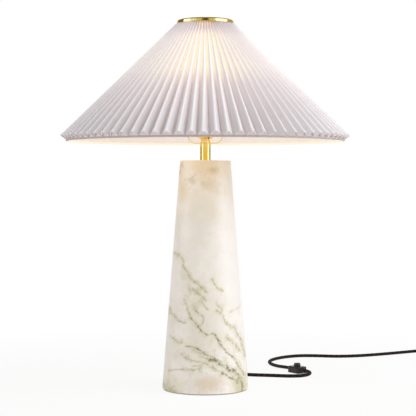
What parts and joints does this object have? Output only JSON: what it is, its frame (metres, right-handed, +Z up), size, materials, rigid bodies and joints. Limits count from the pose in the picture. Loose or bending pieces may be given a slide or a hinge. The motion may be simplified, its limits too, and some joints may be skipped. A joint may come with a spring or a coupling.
{
  "type": "column table lamp",
  "caption": "Table lamp with a tapered round marble column, brass neck and harp, wide pleated cone shade, lit bulb and a dark mains cord with an in-line knob dimmer and a plug.",
  "frame": {"origin": "on the ground under the column's centre line", "axes": "+Z up; the harp lies in the X-Z plane; the front looks towards -Y and the cord leaves at +Y"},
  "size_m": [0.8181, 0.7611, 0.6526],
  "materials": {
    "felt": "matte felt",
    "marble": "polished veined marble",
    "polished_brass": "polished",
    "steel": "zinc plated",
    "contact_brass": "stamped",
    "porcelain": "glazed",
    "insulating_card": "pressed",
    "pleated_fabric": "woven, pleated",
    "liner_sheet": "smooth, pale",
    "rim_tape": "woven tape",
    "bulb_glass": "frosted",
    "clear_glass": "clear",
    "nickel": "rolled",
    "black_glass": "vitrified",
    "tungsten": "drawn wire",
    "dark_plastic": "fine texture",
    "knob_plastic": "satin",
    "board": "solder mask",
    "cord_jacket": "braided",
    "wire_insulation": "smooth",
    "tie_strap": "woven hook strap"
  },
  "bodies": {
    "lamp_base": {"base_felt": "felt", "marble_column": "marble", "bottom_washer": "steel", "bottom_lock_washer": "steel", "bottom_nut": "steel", "threaded_pipe": "steel", "neck_tube": "polished_brass", "harp_saddle": "polished_brass", "collar_nut": "polished_brass", "socket_cap": "polished_brass", "socket_set_screw": "steel", "socket_shell": "polished_brass", "insulating_sleeve": "insulating_card", "socket_body": "porcelain", "terminal_straps": "contact_brass", "terminal_screws": "steel", "screw_shell": "contact_brass", "centre_contact": "contact_brass", "harp": "polished_brass", "harp_stud": "polished_brass", "cord_bushing": "dark_plastic", "cord_inside_base": "cord_jacket", "lead_wires": "wire_insulation", "cord_first_stretch": "cord_jacket", "dimmer_base": "dark_plastic", "dimmer_cover": "dark_plastic", "dimmer_screws": "steel", "dimmer_board": "board", "dimmer_potentiometer": "steel", "dimmer_grommets": "dark_plastic", "dimmer_leads": "wire_insulation", "cord_second_stretch": "cord_jacket", "cord_coil": "cord_jacket", "coil_tie": "tie_strap", "plug_body": "dark_plastic", "plug_blades": "contact_brass"},
    "bulb": {"bulb_cap": "nickel", "bulb_cap_insulator": "black_glass", "bulb_tip_contact": "contact_brass", "bulb_globe": "bulb_glass", "bulb_stem": "clear_glass", "bulb_filament": "tungsten"},
    "shade": {"pleated_cover": "pleated_fabric", "shade_liner": "liner_sheet", "rim_binding": "rim_tape", "rim_wire": "steel", "top_ring": "polished_brass", "shade_spider": "polished_brass"},
    "finial": {"finial": "polished_brass"},
    "dimmer_knob": {"dimmer_knob": "knob_plastic"},
    "ferrule_left": {"ferrule_left": "polished_brass"},
    "ferrule_right": {"ferrule_right": "polished_brass"}
  },
  "joints": [
    {"name": "shade_swivel", "type": "hinge", "parent": "lamp_base", "child": "shade", "pos_m": [0, 0, 0.6346], "axis": [0, 0, 1], "continuous": true},
    {"name": "finial_turn", "type": "hinge", "parent": "lamp_base", "child": "finial", "pos_m": [0, 0, 0.6362], "axis": [0, 0, 1], "continuous": true},
    {"name": "bulb_turn", "type": "hinge", "parent": "lamp_base", "child": "bulb", "pos_m": [0, 0, 0.4736], "axis": [0, 0, 1], "continuous": true},
    {"name": "dimmer_knob_turn", "type": "hinge", "parent": "lamp_base", "child": "dimmer_knob", "pos_m": [0.1765, 0.1945, 0.0127], "axis": [0, 0, 1], "range_deg": [0, 280]},
    {"name": "ferrule_left_lift", "type": "slide", "parent": "lamp_base", "child": "ferrule_left", "axis": [0, 0, 1], "range_m": [0, 0.008]},
    {"name": "ferrule_right_lift", "type": "slide", "parent": "lamp_base", "child": "ferrule_right", "axis": [0, 0, 1], "range_m": [0, 0.008]}
  ]
}
